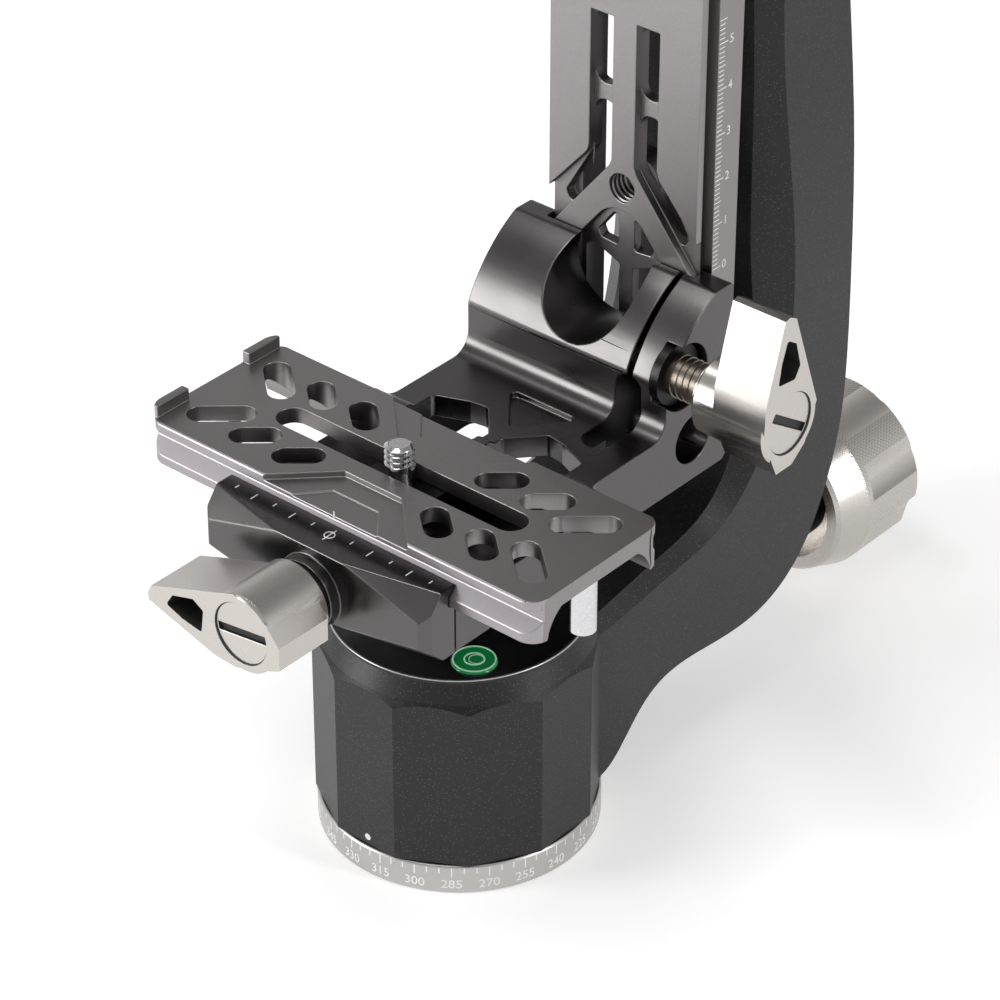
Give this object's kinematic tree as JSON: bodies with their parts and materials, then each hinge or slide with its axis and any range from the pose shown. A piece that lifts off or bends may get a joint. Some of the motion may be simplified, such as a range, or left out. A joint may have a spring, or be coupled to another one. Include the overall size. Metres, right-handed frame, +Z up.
{
  "type": "gimbal tripod head",
  "caption": "Side-mount gimbal head: panning C-shaped arm, swinging rail, sliding platform and dovetail lens plate.",
  "frame": {"origin": "on the pan axis, in the plane of the base that seats on the tripod", "axes": "+Z up along the pan axis, +X along the lens, +Y towards the arm"},
  "size_m": [0.102, 0.2025, 0.217],
  "materials": {
    "powder_black": "fine textured powder coat over cast aluminium",
    "gloss_black": "glossy disc",
    "bubble_green": "tinted bubble level",
    "ring_aluminium": "satin turned aluminium",
    "champagne_aluminium": "satin anodised",
    "titanium_anodised": "satin anodised",
    "gunmetal_anodised": "satin anodised",
    "dark_anodised": "dark anodised",
    "machined_steel": "machined",
    "black_steel": "blackened",
    "chrome": "polished",
    "brass": "machined",
    "bronze": "sintered",
    "nylon": "plain"
  },
  "bodies": {
    "base": {"scale_ring": "ring_aluminium", "base_plate": "dark_anodised", "pan_spindle": "machined_steel", "thread_insert": "brass", "base_screws": "black_steel", "thrust_washer": "nylon", "pan_bearing_inner": "machined_steel", "spindle_nut": "machined_steel"},
    "arm": {"arm_frame": "powder_black", "top_cover": "gloss_black", "level_vial": "bubble_green", "pan_bush": "bronze", "pan_bearing_outer": "machined_steel", "pan_brake_pad": "nylon", "tilt_race_outer_front": "machined_steel", "tilt_race_outer_rear": "machined_steel", "tilt_cover": "powder_black", "tilt_cover_screws": "black_steel", "tilt_brake_pad": "nylon"},
    "pan_knob": {"pan_knob_grip": "champagne_aluminium", "pan_knob_rod": "machined_steel", "pan_knob_cap": "dark_anodised"},
    "tilt_knob": {"tilt_knob_grip": "champagne_aluminium", "tilt_knob_rod": "machined_steel", "tilt_knob_cap": "dark_anodised"},
    "swing": {"swing_rail": "titanium_anodised", "rail_front_cap": "dark_anodised", "rail_end_stop": "dark_anodised", "end_stop_screws": "black_steel", "tilt_axle": "machined_steel", "axle_screws": "black_steel", "axle_nut": "machined_steel", "tilt_race_inner_front": "machined_steel", "tilt_race_inner_rear": "machined_steel"},
    "platform": {"platform_bracket": "gunmetal_anodised", "clamp_base": "gunmetal_anodised", "clamp_stud": "machined_steel", "jaw_guide_pins": "machined_steel", "jaw_springs": "machined_steel"},
    "platform_lever": {"lock_lever": "champagne_aluminium", "lock_lever_cap": "champagne_aluminium", "lock_stud": "machined_steel", "lock_washer": "black_steel"},
    "jaw": {"clamp_jaw": "gunmetal_anodised"},
    "jaw_lever": {"clamp_lever": "champagne_aluminium", "clamp_lever_cap": "champagne_aluminium", "clamp_washer": "black_steel"},
    "plate": {"lens_plate": "titanium_anodised", "plate_stop_pins": "chrome"},
    "screw_carriage": {"screw_slider": "black_steel"},
    "lens_screw": {"camera_screw": "chrome"}
  },
  "joints": [
    {"name": "pan", "type": "hinge", "parent": "base", "child": "arm", "pos_m": [0, 0, 0], "axis": [0, 0, 1], "continuous": true},
    {"name": "pan_brake_turn", "type": "hinge", "parent": "arm", "child": "pan_knob", "pos_m": [0, 0.112, 0.0216], "axis": [0, 1, 0], "range_deg": [0, 360]},
    {"name": "tilt_brake_turn", "type": "hinge", "parent": "arm", "child": "tilt_knob", "pos_m": [0, 0.112, 0.19], "axis": [0, 1, 0], "range_deg": [0, 360]},
    {"name": "tilt", "type": "hinge", "parent": "arm", "child": "swing", "pos_m": [0, 0.07, 0.19], "axis": [0, 1, 0], "continuous": true},
    {"name": "platform_height", "type": "slide", "parent": "swing", "child": "platform", "axis": [0, 0, 1], "range_m": [0, 0.055]},
    {"name": "height_lock_turn", "type": "hinge", "parent": "platform", "child": "platform_lever", "pos_m": [0.026, 0.0386, 0.0967], "axis": [1, 0, 0], "range_deg": [0, 360]},
    {"name": "jaw_travel", "type": "slide", "parent": "platform", "child": "jaw", "axis": [0, -1, 0], "range_m": [0, 0.0026]},
    {"name": "clamp_turn", "type": "hinge", "parent": "jaw", "child": "jaw_lever", "pos_m": [0, -0.05, 0.0769], "axis": [0, -1, 0], "range_deg": [0, 720]},
    {"name": "plate_travel", "type": "slide", "parent": "platform", "child": "plate", "axis": [1, 0, 0], "range_m": [-0.014, 0.014]},
    {"name": "screw_travel", "type": "slide", "parent": "plate", "child": "screw_carriage", "axis": [1, 0, 0], "range_m": [-0.027, 0.027]},
    {"name": "screw_turn", "type": "hinge", "parent": "screw_carriage", "child": "lens_screw", "pos_m": [0, -0.0168, 0.09], "axis": [0, 0, 1], "continuous": true}
  ],
  "couplings": [
    {"joint": "jaw_travel", "follows": "clamp_turn", "m_per_rad": 0.000199}
  ]
}
